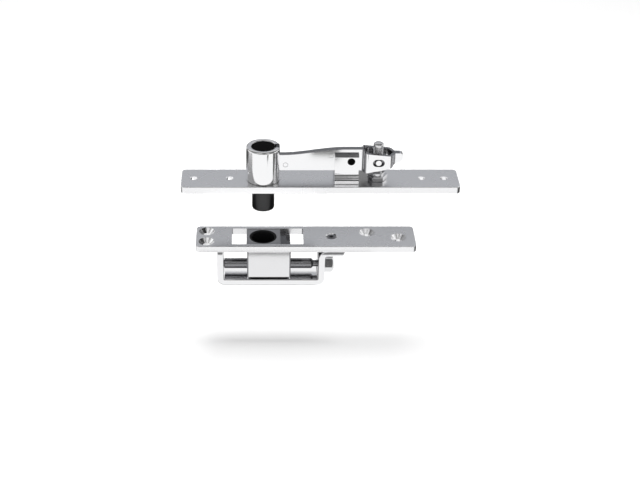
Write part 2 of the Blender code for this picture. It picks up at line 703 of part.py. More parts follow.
def door_plate(axis):
    half = DOOR_WIDTH / 2
    corners = ((-DOOR_LEFT, -half), (DOOR_RIGHT, -half), (DOOR_RIGHT, half), (-DOOR_LEFT, half))
    outline = fillet([(x, y, PLATE_CORNER) for x, y in corners])
    plate = extrude("door_plate", outline, "Z", DOOR_UNDER, DOOR_TOP, POLISHED)
    plate.data.shade_flat()
    bevel(plate, PLATE_EDGE)
    left = DOOR_HOLE_LEFT_INSET - DOOR_LEFT
    spread = DOOR_HOLE_LEFT_SPREAD / 2
    right = DOOR_RIGHT - DOOR_HOLE_RIGHT_INSET
    places = (
        (left, -spread),
        (left, spread),
        (right - DOOR_HOLE_RIGHT_PITCH, DOOR_HOLE_INNER_Y),
        (right, DOOR_HOLE_OUTER_Y),
    )
    for number, (x, y) in enumerate(places, 1):
        name = f"door_screw_hole_{number}"
        cut(plate, countersink(name, x, y, DOOR_HOLE_RADIUS, DOOR_SINK_RADIUS, DOOR_TOP, DOOR_UNDER))
    window_half = WINDOW_WIDTH / 2
    window = [
        (-WINDOW_LEFT, -window_half, WINDOW_CORNER),
        (WINDOW_RIGHT, -window_half, WINDOW_CORNER),
        (WINDOW_RIGHT, window_half, WINDOW_CORNER),
        (-WINDOW_LEFT, window_half, WINDOW_CORNER),
    ]
    low, high = DOOR_UNDER - GAP, DOOR_TOP + GAP
    cut(plate, extrude("window", fillet(window, 3), "Z", low, high, CUTTER))
    sink = STRAP_SCREW_HEAD_RADIUS + 3 * GAP
    shank = STRAP_SCREW_RADIUS + GAP
    cut(plate, countersink("strap_screw_sink", STRAP_SCREW_X, 0, shank, sink, DOOR_TOP, DOOR_UNDER))
    carry(axis, plate)


def strap(axis):
    """The bent flat that hangs under the door plate, and the screw through its foot."""
    half = STRAP_THICKNESS / 2
    seat = DOOR_UNDER - GAP
    bottom = DOOR_TOP - STRAP_BOTTOM + half
    left = half - STRAP_LEFT
    right = STRAP_RIGHT - half
    path = [
        (left, seat, 0),
        (left, bottom, STRAP_BEND),
        (right, bottom, STRAP_BEND),
        (right, seat - half, STRAP_FOOT_BEND),
        (STRAP_FOOT_END, seat - half, 0),
    ]
    width = STRAP_WIDTH / 2
    corners = strip(path, STRAP_THICKNESS)
    toe = len(path)
    corners[toe] = (*corners[toe][:2], STRAP_TOE_RADIUS)
    body = extrude("strap", fillet(corners), "Y", -width, width, SATIN)
    bevel(body, STRAP_EDGE)
    neck = polygon(0, SPINDLE_Z, SPINDLE_NECK_RADIUS + THREAD_FIT, 24)
    reach = STRAP_RIGHT + GAP
    cut(body, extrude("spindle_holes", neck, "X", -STRAP_LEFT - GAP, reach, CUTTER))
    low = seat - STRAP_THICKNESS - GAP
    cut(body, drill("strap_screw_hole", STRAP_SCREW_X, 0, STRAP_SCREW_RADIUS + GAP, low, seat + GAP))
    head = STRAP_SCREW_HEAD_RADIUS
    top = DOOR_TOP - GAP
    profile = [
        (0, low + 2 * GAP),
        (STRAP_SCREW_RADIUS, low + 2 * GAP),
        (STRAP_SCREW_RADIUS, top - (head - STRAP_SCREW_RADIUS)),
        (head, top),
        (0, top),
    ]
    screw = turn("strap_screw", profile, "Z", (STRAP_SCREW_X, 0, 0), 28, STEEL)
    socket = polygon(STRAP_SCREW_X, 0, STRAP_SCREW_SOCKET, 6, pi / 6)
    cut(screw, extrude("strap_screw_socket", socket, "Z", top - STRAP_SCREW_RADIUS, top + GAP, CUTTER))
    carry(axis, body, screw)


def spindle():
    """The adjusting spindle: threaded in the block, necked where the strap's legs carry it."""
    left = -STRAP_LEFT + GAP
    shoulder = -STRAP_LEFT_INNER + GAP
    neck_start = STRAP_RIGHT_INNER - SPINDLE_NECK_LENGTH
    head = STRAP_RIGHT + GAP
    end = head + SPINDLE_HEAD_LENGTH
    rim = SPINDLE_CHAMFER
    profile = [
        (0, left),
        (SPINDLE_NECK_RADIUS, left),
        (SPINDLE_NECK_RADIUS, shoulder),
        (SPINDLE_RADIUS - GAP, shoulder),
        (SPINDLE_RADIUS, shoulder + GAP),
        (SPINDLE_RADIUS, neck_start - rim),
        (SPINDLE_RADIUS - rim, neck_start),
        (SPINDLE_NECK_RADIUS, neck_start),
        (SPINDLE_NECK_RADIUS, end - GAP),
        (0, end - GAP),
    ]
    rod = turn("spindle", profile, "X", (0, 0, SPINDLE_Z), 32, STEEL)
    hexagon = polygon(0, SPINDLE_Z, SPINDLE_HEAD_RADIUS, 6)
    nut = extrude("spindle_head", hexagon, "X", head, end, STEEL)
    over = 2 * SPINDLE_HEAD_RADIUS
    chamfer = [
        (0, head - GAP),
        (over, head - GAP),
        (over, end - (over - SPINDLE_HEAD_END) * tan(pi / 6)),
        (SPINDLE_HEAD_END, end),
        (0, end),
    ]
    combine(nut, turn("head_chamfer", chamfer, "X", (0, 0, SPINDLE_Z), 48, CUTTER), "INTERSECT")
    bore = polygon(0, SPINDLE_Z, SPINDLE_NECK_RADIUS + GAP, 32)
    cut(nut, extrude("head_bore", bore, "X", head - GAP, end + GAP, CUTTER))
    carry(pivot("spindle_axis", 0, 0, SPINDLE_Z), rod, nut)


def door_unit():
    axis = pivot("block_slide_axis", 0, 0, DOOR_TOP)
    door_plate(axis)
    strap(axis)
    spindle()


clear_scene()
frame_plate()
pin_sleeve()
pivot_pin()
lever()
fulcrum_brackets()
trunnion_nut()
adjusting_screw()
bearing_bush()
bearing_block()
door_unit()
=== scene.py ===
# %% [markdown]
# # A door's top pivot, dressed for its picture
# A swing door without side hinges turns on two points. This is the upper one. A plate in the header holds
# a steel pin that a screw and a lever raise and lower, and a plate on the door's top edge holds the bearing
# that the pin drops into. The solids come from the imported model, in metres, and this script makes the fine
# surfaces, the finishes, the light and the camera. The plates could be left as they were packed, but those
# meshes are loose triangles that show facets in polished steel, so each visible piece is modelled again
# over its solid.

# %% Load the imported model
from math import pi, radians, tan

import bmesh
import bpy
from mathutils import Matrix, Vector


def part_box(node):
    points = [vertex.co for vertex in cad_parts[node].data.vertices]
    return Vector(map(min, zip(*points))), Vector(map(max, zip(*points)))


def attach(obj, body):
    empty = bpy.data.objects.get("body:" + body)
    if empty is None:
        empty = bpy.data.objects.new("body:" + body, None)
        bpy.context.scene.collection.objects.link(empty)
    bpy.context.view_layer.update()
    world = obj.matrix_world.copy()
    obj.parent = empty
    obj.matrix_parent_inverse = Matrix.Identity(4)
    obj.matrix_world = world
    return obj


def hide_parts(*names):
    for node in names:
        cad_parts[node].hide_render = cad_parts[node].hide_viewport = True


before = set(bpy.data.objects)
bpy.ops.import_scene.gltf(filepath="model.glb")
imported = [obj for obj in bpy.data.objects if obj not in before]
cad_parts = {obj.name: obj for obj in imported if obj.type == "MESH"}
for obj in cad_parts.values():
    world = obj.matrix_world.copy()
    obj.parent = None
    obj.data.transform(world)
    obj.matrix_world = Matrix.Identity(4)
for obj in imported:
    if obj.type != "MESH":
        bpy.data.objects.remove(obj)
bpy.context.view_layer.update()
MM = 0.001
print("nodes:", len(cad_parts))

# %% [markdown]
# ## Tools of the bench
# Every piece is made as it would be by hand: a primitive or a drawn outline, shaped in edit mode, then
# finished with modifiers that are applied. An operator works on all that is selected, and loading leaves
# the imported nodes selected, so each start first clears the selection. Faces and edges are picked by their
# place, which stays true when a size changes, while an index would not.


# %% Starting and selecting
def clear_selection():
    if bpy.context.mode != "OBJECT":
        bpy.ops.object.mode_set(mode="OBJECT")
    bpy.ops.object.select_all(action="DESELECT")


def take(obj):
    """Makes the object the only selected one."""
    clear_selection()
    obj.select_set(True)
    bpy.context.view_layer.objects.active = obj


def name_it(name):
    obj = bpy.context.object
    obj.name = name
    obj.data.name = name
    return obj


def pick(obj, kind, wanted):
    """In edit mode, selects the vertices, edges or faces whose corners all pass the test."""
    bpy.ops.mesh.select_mode(type={"verts": "VERT", "edges": "EDGE", "faces": "FACE"}[kind])
    bpy.ops.mesh.select_all(action="DESELECT")
    mesh = bmesh.from_edit_mesh(obj.data)
    found = 0
    for item in getattr(mesh, kind):
        corners = [item.co] if kind == "verts" else [vert.co for vert in item.verts]
        if wanted([obj.matrix_world @ corner for corner in corners]):
            item.select_set(True)
            found += 1
    bmesh.update_edit_mesh(obj.data)
    return found


# %% [markdown]
# A pressed or rolled piece is easiest to see from the side, as the outline that its tool would cut. The
# outline is drawn by extruding one vertex from corner to corner, its corners are rounded with a vertex
# bevel, and the face is then extruded to its width. A cube with many cuts would also do, but the drawn
# outline keeps each bend's radius as one number.


# %% Drawing an outline and extruding it
def place(axis, u, v, along):
    return Vector({"X": (along, u, v), "Y": (u, along, v), "Z": (u, v, along)}[axis])


def corner_setback(corners, index):
    """How far from the corner a bevel of its radius begins."""
    here = Vector(corners[index][:2])
    before = Vector(corners[index - 1][:2]) - here
    after = Vector(corners[(index + 1) % len(corners)][:2]) - here
    return corners[index][2] / tan(before.angle(after) / 2)


def draw_and_extrude(name, corners, axis, low, high, rounding=8):
    """Each corner is (u, v, radius) in the plane across the axis."""
    clear_selection()
    points = [place(axis, u, v, low) for u, v, *_ in corners]
    bpy.ops.mesh.primitive_plane_add(size=MM, location=points[0])
    obj = name_it(name)
    bpy.ops.object.mode_set(mode="EDIT")
    bpy.ops.mesh.select_mode(type="VERT")
    bpy.ops.mesh.merge(type="CENTER")
    for before, after in zip(points, points[1:]):
        bpy.ops.mesh.extrude_region_move(TRANSFORM_OT_translate={"value": after - before})
    near = MM / 1000
    ends = (points[0], points[-1])
    pick(obj, "verts", lambda at: any((at[0] - end).length < near for end in ends))
    bpy.ops.mesh.edge_face_add()
    bpy.ops.mesh.select_all(action="SELECT")
    bpy.ops.mesh.edge_face_add()
    for index, corner in enumerate(corners):
        if len(corner) == 3 and corner[2] > 0:
            point = points[index]
            pick(obj, "verts", lambda at, point=point: (at[0] - point).length < near)
            setback = corner_setback(corners, index)
            bpy.ops.mesh.bevel(offset=setback, segments=rounding, affect="VERTICES")
    bpy.ops.mesh.select_all(action="SELECT")
    bpy.ops.mesh.extrude_region_move(
        TRANSFORM_OT_translate={"value": place(axis, 0, 0, high - low)}
    )
    bpy.ops.mesh.select_all(action="SELECT")
    bpy.ops.mesh.normals_make_consistent(inside=False)
    bpy.ops.object.mode_set(mode="OBJECT")
    return obj


# %% [markdown]
# A turned piece is drawn as half of its section and spun, just as a lathe tool follows a profile. The
# section starts as one vertex. A cylinder primitive would need its chamfers and shoulders cut in later.


# %% Turning a profile
def turned(name, profile, axis, centre, steps=96):
    """The profile's points are (radius, place along the axis), round the section and back to its start."""
    clear_selection()
    across = (0, 1, 0) if axis == "X" else (1, 0, 0)
    middle = Vector(centre)
    line = place(axis, 0, 0, 1)
    points = [middle + Vector(across) * radius + line * along for radius, along in profile]
    bpy.ops.mesh.primitive_plane_add(size=MM, location=points[0])
    obj = name_it(name)
    bpy.ops.object.mode_set(mode="EDIT")
    bpy.ops.mesh.select_mode(type="VERT")
    bpy.ops.mesh.merge(type="CENTER")
    for before, after in zip(points, points[1:]):
        bpy.ops.mesh.extrude_region_move(TRANSFORM_OT_translate={"value": after - before})
    hollow = profile[0][0] > 0 and profile[-1][0] > 0
    if hollow:
        near = MM / 1000
        ends = (points[0], points[-1])
        pick(obj, "verts", lambda at: any((at[0] - end).length < near for end in ends))
        bpy.ops.mesh.edge_face_add()
    bpy.ops.mesh.select_all(action="SELECT")
    bpy.ops.mesh.spin(steps=steps, angle=2 * pi, center=middle, axis=line)
    bpy.ops.mesh.select_all(action="SELECT")
    bpy.ops.mesh.remove_doubles(threshold=MM / 500)
    bpy.ops.mesh.normals_make_consistent(inside=False)
    bpy.ops.object.mode_set(mode="OBJECT")
    return obj


def rod(name, axis, centre, radius, low, high, sides=64):
    """A plain cylinder or prism, used as a drill."""
    clear_selection()
    tilt = {"X": (0, pi / 2, 0), "Y": (pi / 2, 0, 0), "Z": (0, 0, 0)}[axis]
    middle = Vector(centre) + place(axis, 0, 0, (low + high) / 2)
    bpy.ops.mesh.primitive_cylinder_add(
        vertices=sides, radius=radius, depth=high - low, location=middle, rotation=tilt
    )
    return name_it(name)


def block_between(name, low, high):
    clear_selection()
    size = Vector(high) - Vector(low)
    bpy.ops.mesh.primitive_cube_add(size=1, location=(Vector(low) + Vector(high)) / 2, scale=size)
    bpy.ops.object.transform_apply(location=False, rotation=False, scale=True)
    return name_it(name)


# %% [markdown]
# Holes and joined shapes are exact Booleans, applied at once so that each later step works on real edges.
# Every machined edge is broken by a tenth or two of a millimetre, and that thin bright line is what makes
# metal look real. The weighted normals at the end keep flat faces flat between such small bevels.


# %% Cutting, joining and finishing
def combine(obj, tools, operation):
    for tool in tools:
        take(obj)
        modifier = obj.modifiers.new(tool.name, "BOOLEAN")
        modifier.operation = operation
        modifier.object = tool
        modifier.solver = "EXACT"
        bpy.ops.object.modifier_apply(modifier=modifier.name)
        bpy.data.objects.remove(tool)
    return obj


def cut(obj, *tools):
    return combine(obj, tools, "DIFFERENCE")


def join(obj, *tools):
    return combine(obj, tools, "UNION")


def keep_within(obj, *tools):
    return combine(obj, tools, "INTERSECT")


def break_edges(obj, width, segments=2, angle=30):
    take(obj)
    modifier = obj.modifiers.new("broken edges", "BEVEL")
    modifier.width = width
    modifier.segments = segments
    modifier.limit_method = "ANGLE"
    modifier.angle_limit = radians(angle)
    modifier.use_clamp_overlap = True
    bpy.ops.object.modifier_apply(modifier=modifier.name)
    return obj


def recolour(obj, material, wanted):
    """Gives a second material to the faces whose (middle, normal) pass the test: a finish of other
    roughness, painted shade or a painted highlight.
    """
    obj.data.materials.append(material)
    index = len(obj.data.materials) - 1
    for face in obj.data.polygons:
        if wanted(face.center, face.normal):
            face.material_index = index
    return obj


def finish(obj, body, slot, material, *nodes, angle=35):
    """Sets the piece at the origin, shades it, gives it its finish and puts it on its body."""
    take(obj)
    bpy.ops.object.transform_apply(location=True, rotation=True, scale=True)
    bpy.ops.object.shade_smooth_by_angle(angle=radians(angle))
    modifier = obj.modifiers.new("flat faces", "WEIGHTED_NORMAL")
    modifier.keep_sharp = True
    bpy.ops.object.modifier_apply(modifier=modifier.name)
    obj.data.materials.clear()
    obj.data.materials.append(material)
    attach(obj, body)
    if nodes:
        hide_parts(*nodes)
    size = [round(side / MM, 1) for side in obj.dimensions]
    print(f"{obj.name}: {size} mm, {len(obj.data.polygons)} faces")
    return obj


# %% [markdown]
# ## Camera
# The photograph looks down on the plates by 30 degrees, straight from the front, through a long lens: the
# plates' ends hardly converge. The lens was worked out from the plates' own corners, whose sizes are known
# from the solids. The picture's middle is not over the pivot, so a small sideways shift does what moving
# the frame over the picture would.

# %% Place the camera
PICTURE_WIDTH = 640
FOCAL_PIXELS = 1350
LOOK_DOWN = 30.2
clear_selection()
bpy.ops.object.camera_add(
    location=(-0.0066, -0.9583, 0.5065), rotation=(radians(90 - LOOK_DOWN), 0, 0)
)
camera = bpy.context.object
camera.data.sensor_width = 36
camera.data.lens = FOCAL_PIXELS / PICTURE_WIDTH * camera.data.sensor_width
camera.data.shift_x = 65 / PICTURE_WIDTH
camera.data.clip_start = 0.01
bpy.context.scene.camera = camera
print("lens", round(camera.data.lens, 2), "mm")

# %% [markdown]
# ## Finishes
# Polished steel is mostly reflection, so its material needs little colour and much care in roughness.
# Fine haze and faint rolling marks break up the mirror. Both come from noise in object coordinates, in one
# node group that every metal shares with values of its own. A picture of scratches would be quicker, but
# it would stretch on the bends. Some faces of a piece get a second material, picked by their place and
# direction on the piece. A few differ only in roughness. Most are darker copies of the steel, painted
# shade on edges, bends and hollows, and one is a matte white, a painted highlight.


# %% The shared haze group
def build_haze_group():
    """Roughness that drifts over the surface, and a fine height for a bump."""
    group = bpy.data.node_groups.new("haze", "ShaderNodeTree")
    ports = group.interface
    for label, value in (("Roughness", 0.2), ("Drift", 0.05), ("Grain", 900.0)):
        socket = ports.new_socket(name=label, in_out="INPUT", socket_type="NodeSocketFloat")
        socket.default_value = value
    stretch = ports.new_socket(name="Stretch", in_out="INPUT", socket_type="NodeSocketVector")
    stretch.default_value = (1, 1, 1)
    for label in ("Roughness", "Height"):
        ports.new_socket(name=label, in_out="OUTPUT", socket_type="NodeSocketFloat")
    nodes, links = group.nodes, group.links
    inputs = nodes.new("NodeGroupInput")
    outputs = nodes.new("NodeGroupOutput")
    place_on = nodes.new("ShaderNodeTexCoord")
    scaled = nodes.new("ShaderNodeVectorMath")
    scaled.operation = "MULTIPLY"
    links.new(place_on.outputs["Object"], scaled.inputs[0])
    links.new(inputs.outputs["Stretch"], scaled.inputs[1])
    grain = nodes.new("ShaderNodeTexNoise")
    grain.inputs["Detail"].default_value = 3
    links.new(scaled.outputs[0], grain.inputs["Vector"])
    links.new(inputs.outputs["Grain"], grain.inputs["Scale"])
    clouds = nodes.new("ShaderNodeTexNoise")
    clouds.inputs["Scale"].default_value = 60
    clouds.inputs["Detail"].default_value = 2
    links.new(place_on.outputs["Object"], clouds.inputs["Vector"])
    centred = nodes.new("ShaderNodeMath")
    centred.operation = "SUBTRACT"
    centred.inputs[1].default_value = 0.5
    links.new(clouds.outputs["Fac"], centred.inputs[0])
    drift = nodes.new("ShaderNodeMath")
    drift.operation = "MULTIPLY_ADD"
    links.new(centred.outputs[0], drift.inputs[0])
    links.new(inputs.outputs["Drift"], drift.inputs[1])
    links.new(inputs.outputs["Roughness"], drift.inputs[2])
    links.new(drift.outputs[0], outputs.inputs["Roughness"])
    links.new(grain.outputs["Fac"], outputs.inputs["Height"])
    return group


haze = build_haze_group()


# %% Metal and black finishes
def surface(name, colour, metallic, roughness, drift, grain, stretch, bump):
    material = bpy.data.materials.new(name)
    material.use_nodes = True
    nodes, links = material.node_tree.nodes, material.node_tree.links
    shader = nodes["Principled BSDF"]
    shader.inputs["Base Color"].default_value = (*colour, 1)
    shader.inputs["Metallic"].default_value = metallic
    fine = nodes.new("ShaderNodeGroup")
    fine.node_tree = haze
    fine.inputs["Roughness"].default_value = roughness
    fine.inputs["Drift"].default_value = drift
    fine.inputs["Grain"].default_value = grain
    fine.inputs["Stretch"].default_value = stretch
    links.new(fine.outputs["Roughness"], shader.inputs["Roughness"])
    height = nodes.new("ShaderNodeBump")
    height.inputs["Strength"].default_value = bump
    height.inputs["Distance"].default_value = MM / 10
    links.new(fine.outputs["Height"], height.inputs["Height"])
    links.new(height.outputs["Normal"], shader.inputs["Normal"])
    return material


polished = surface("polished_steel", (0.94, 0.94, 0.95), 1, 0.12, 0.06, 500, (1, 1, 1), 0.02)
rolled = surface("rolled_steel", (0.93, 0.93, 0.94), 1, 0.27, 0.08, 600, (0.15, 1, 1), 0.04)
bent_bar = surface("bent_bar", (0.88, 0.88, 0.89), 1, 0.08, 0.05, 500, (0.2, 1, 1), 0.02)
satin = surface("satin_steel", (0.82, 0.82, 0.83), 1, 0.2, 0.08, 900, (1, 1, 0.3), 0.06)
# A matte white on steel faces: a painted highlight for faces that are to read bright.
painted_highlight = surface("painted_highlight_white", (0.97, 0.97, 0.98), 0, 0.5, 0.1, 900, (1, 1, 1), 0.05)
sunk = surface("countersunk_face", (0.96, 0.96, 0.97), 1, 0.25, 0.06, 900, (1, 1, 1), 0.04)
# A grey copy of the steel: painted shade for bends, recesses and inner faces.
painted_shade_grey = surface("painted_shade_grey_steel", (0.4, 0.4, 0.41), 1, 0.25, 0.2, 600, (1, 1, 1), 0.08)
# A dark copy of the steel: painted shade for edges and narrow faces.
painted_edge_shade = surface("painted_edge_shade_steel", (0.34, 0.34, 0.35), 1, 0.25, 0.1, 800, (1, 1, 1), 0.1)
threaded_steel = surface("threaded_steel", (0.78, 0.78, 0.79), 1, 0.3, 0.45, 900, (1, 1, 1), 0.2)
# A very dark copy of the steel: painted shade for faces in the window and under the door plate.
painted_shade_deep = surface("painted_shade_deep_steel", (0.17, 0.17, 0.18), 1, 0.25, 0.5, 500, (1, 1, 1), 0.1)
turned_steel = surface("turned_steel", (0.80, 0.80, 0.81), 1, 0.18, 0.06, 700, (1, 0.2, 0.2), 0.05)
# A dark steel: painted shade on the trunnion nut, and the colour of the spindle and the strap's screw.
dark_steel_and_shade = surface("dark_steel_and_shade", (0.26, 0.26, 0.27), 1, 0.2, 0.08, 700, (1, 0.2, 0.2), 0.06)
black_steel = surface("black_steel", (0.006, 0.006, 0.007), 0, 0.32, 0.1, 900, (1, 1, 1), 0.08)
black_plastic = surface("black_plastic", (0.008, 0.008, 0.009), 0, 0.6, 0.1, 1200, (1, 1, 1), 0.1)
# A black with hardly any gloss: painted shade on the pins' ends.
painted_shade_black = surface("painted_shade_black_end", (0.002, 0.002, 0.002), 0, 0.7, 0.1, 1200, (1, 1, 1), 0.1)
for dull, level in ((black_steel, 0.45), (black_plastic, 0.25), (painted_shade_black, 0.05)):
    dull.node_tree.nodes["Principled BSDF"].inputs["Specular IOR Level"].default_value = level

# %% [markdown]
# ## Frame plate
# The plate is cut from flat bar, its corners are rounded and its edges are just broken. A cube takes this
# form best: bevel the four upright edges for the corners, then the rims for the edges. The screw holes are
# countersunk from below, because the plate is screwed up into the header.

# %% Sizes of the frame unit
PLATE_CORNER = 3.5 * MM
PLATE_EDGE = 0.5 * MM
PLATE_TOP = 6 * MM
SCREW_X = 91 * MM
FULCRUM = Vector((69.5 * MM, 0, 23.8 * MM))
FULCRUM_HOLE = 3.1 * MM
TRUNNION_Z = 23.5 * MM
CROSS_PIN_Z = 18.5 * MM
SCREW_RADIUS = 4 * MM
SCREW_WAY = 4.3 * MM
RIVETS = {"near": (17.6 * MM, 0, 19.2 * MM), "middle": (53.6 * MM, 0, 27.4 * MM)}
DRILL_REACH = 12 * MM


def plate_blank(node, divides):
    """A plate with round corners. Its faces are divided (at x in mm) between the holes cut later."""
    low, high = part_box(node)
    plate = block_between(f"{node}_surface", low, high)
    take(plate)
    bpy.ops.object.mode_set(mode="EDIT")
    pick(plate, "edges", lambda at: abs(at[0].x - at[1].x) + abs(at[0].y - at[1].y) < MM / 10)
    bpy.ops.mesh.bevel(offset=PLATE_CORNER, segments=12, affect="EDGES")
    bpy.ops.object.mode_set(mode="OBJECT")
    break_edges(plate, PLATE_EDGE, 3, 60)
    bpy.ops.object.mode_set(mode="EDIT")
    for x in divides:
        bpy.ops.mesh.select_all(action="SELECT")
        bpy.ops.mesh.bisect(plane_co=(x * MM, 0, 0), plane_no=(1, 0, 0))
    bpy.ops.object.mode_set(mode="OBJECT")
    return plate


def screw_hole(name, x, y, radius, sink, mouth, floor):
    """A drill with a 90 degree countersink at the mouth."""
    into = 1 if floor > mouth else -1
    over = 3 * MM
    profile = (
        (0, mouth - into * over),
        (sink, mouth - into * over),
        (sink, mouth),
        (radius, mouth + into * (sink - radius)),
        (radius, floor + into * over),
        (0, floor + into * over),
    )
    return turned(name, profile, "Z", (x, y, 0), 64)


# %% Cut the frame plate
frame_plate = plate_blank("frame_plate", (-41, -18, 40, 108, 135))
for number, x in enumerate((-55.6, -26.8, 126.5, 144.5)):
    cut(frame_plate, screw_hole(f"hole_{number}", x * MM, 0, 3 * MM, 6 * MM, 0, PLATE_TOP))
cut(
    frame_plate,
    rod("sleeve_seat", "Z", (0, 0, 0), 11.85 * MM, -MM, 8 * MM, 96),
    rod("head_seat", "Z", (SCREW_X, 0, 0), 6.3 * MM, -MM, 4.2 * MM),
    rod("screw_way", "Z", (SCREW_X, 0, 0), SCREW_WAY, -MM, 8 * MM),
)
finish(frame_plate, "frame_unit", "polished_steel", rolled, "frame_plate")


def in_hole(middle, normal):
    """The walls of the holes, which lie inside the plate's outline."""
    inside = abs(middle.y) < 12 * MM and -62 * MM < middle.x < 152 * MM
    return inside and MM / 10 < middle.z < PLATE_TOP - MM / 10 and abs(normal.z) < 0.8


recolour(frame_plate, polished, in_hole)

# %% [markdown]
# ## Pin sleeve
# The sleeve is turned from bar and polished, with a chamfer at its rim, and it is slotted on one side so
# that the lever can reach the pin. It is spun from its section, and the slot is one cut by a block.

# %% Turn the sleeve and slot it
sleeve = turned(
    "pin_sleeve_surface",
    (
        (9.35 * MM, 0.3 * MM),
        (9.35 * MM, 34.2 * MM),
        (9.6 * MM, 34.6 * MM),
        (10.15 * MM, 34.85 * MM),
        (10.8 * MM, 34.96 * MM),
        (11.5 * MM, 35 * MM),
        (12.2 * MM, 34.9 * MM),
        (12.8 * MM, 34.65 * MM),
        (13.25 * MM, 34.25 * MM),
        (13.5 * MM, 33.8 * MM),
        (13.6 * MM, 33.2 * MM),
        (13.6 * MM, 6.3 * MM),
        (11.55 * MM, 6.3 * MM),
        (11.55 * MM, 0.3 * MM),
    ),
    "Z",
    (0, 0, 0),
    128,
)
cut(sleeve, block_between("slot", (0, -3.25 * MM, 13.6 * MM), (20 * MM, 3.25 * MM, 40 * MM)))
finish(sleeve, "frame_unit", "polished_steel", polished, "pin_sleeve")


# %% [markdown]
# ## Pivot pin
# The pin is hardened and blackened. The lever's tongue lies in a mortise in its side and lifts the cross
# pin. The mortise can't be seen while the pin is in the sleeve, but it shows when the pin is raised.

# %% Turn the pin, mortise it and cross-drill it
pin = turned(
    "pivot_pin_surface",
    (
        (0, -20 * MM),
        (8 * MM, -20 * MM),
        (8.7 * MM, -19.7 * MM),
        (9 * MM, -19 * MM),
        (9 * MM, 33.2 * MM),
        (8.7 * MM, 33.9 * MM),
        (8 * MM, 34.2 * MM),
        (0, 34.2 * MM),
    ),
    "Z",
    (0, 0, 0),
    96,
)
cut(pin, block_between("mortise", (-7.3 * MM, -2.95 * MM, 11.2 * MM), (12 * MM, 2.95 * MM, 24.5 * MM)))
cut(pin, rod("cross_hole", "Y", (0, 0, CROSS_PIN_Z), 2.3 * MM, -DRILL_REACH, DRILL_REACH, 32))
break_edges(pin, 0.2 * MM, 2, 40)
finish(pin, "pin", "black_steel", black_steel, "pivot_pin")
# Painted shade: the faces that look up, the top deep in the sleeve's bore above all, are given the glossless
# black.
recolour(pin, painted_shade_black, lambda middle, normal: normal.z > 0.5)
cross_pin = rod("pivot_cross_pin_surface", "Y", (0, 0, CROSS_PIN_Z), 2 * MM, -8.7 * MM, 8.7 * MM, 48)
break_edges(cross_pin, 0.3 * MM, 2, 40)
finish(cross_pin, "pin", "plated_steel", turned_steel, "pivot_cross_pin")

# %% [markdown]
# ## Lever
# Two sheets are pressed to the same shape and riveted back to back. They lie flat together along the arm,
# part to form a cage round the nut, and meet again in a round tab. Bending a flat plate would need many
# folds. Here the bent sheet is drawn as it looks from above, extruded upwards, and then trimmed to its
# outline from the side, which is how the blank's edge ends up on the real one too.

# %% Outlines of the lever
SHEET = 2.5 * MM
PLAN = ((-5.9, 1.4), (79.5, 1.4), (81.2, 7.25), (100.4, 7.25), (103.2, 1.4), (110.8, 1.4))
SIDE = (
    (-5.6, 14.5, 2),
    (81.2, 14.5, 4),
    (100.4, 18.6, 6),
    (110.8, 23.3, 2.9),
    (110.8, 29.3, 2.9),
    (100.4, 29.4, 6),
    (81.2, 31.4, 0),
    (79.5, 32.7, 1),
    (64.5, 32.7, 0),
)
RISE_FROM = Vector((15.2, 27.9))
RISE_TO = Vector((64.5, 32.7))


def arm_top(steps=16):
    """The arm's upper edge, an easy S from the cage down to the shoulder at the sleeve."""
    points = []
    for step in range(steps - 1, 0, -1):
        part = step / steps
        ease = part * part * (3 - 2 * part)
        span = RISE_TO - RISE_FROM
        points.append((RISE_FROM.x + span.x * part, RISE_FROM.y + span.y * ease, 0))
    return points


def bent_strip(path, thickness, bend):
    """Corners of a strip of even thickness along its middle line, with each bend's inner radius."""
    left, right = [], []
    last = len(path) - 1
    for index, point in enumerate(path):
        here = Vector(point)
        into = (here - Vector(path[index - 1])).normalized() if index else None
        out = (Vector(path[index + 1]) - here).normalized() if index < last else None
        into, out = into or out, out or into
        side = Vector((-into.y - out.y, into.x + out.x)).normalized()
        reach = thickness / 2 / side.dot(Vector((-into.y, into.x)))
        turn_left = into.x * out.y - into.y * out.x > 0
        inside, outside = bend, bend + thickness
        at_end = index in (0, last)
        left.append((*(here + side * reach), 0 if at_end else inside if turn_left else outside))
        right.append((*(here - side * reach), 0 if at_end else outside if turn_left else inside))
    return left + right[::-1]


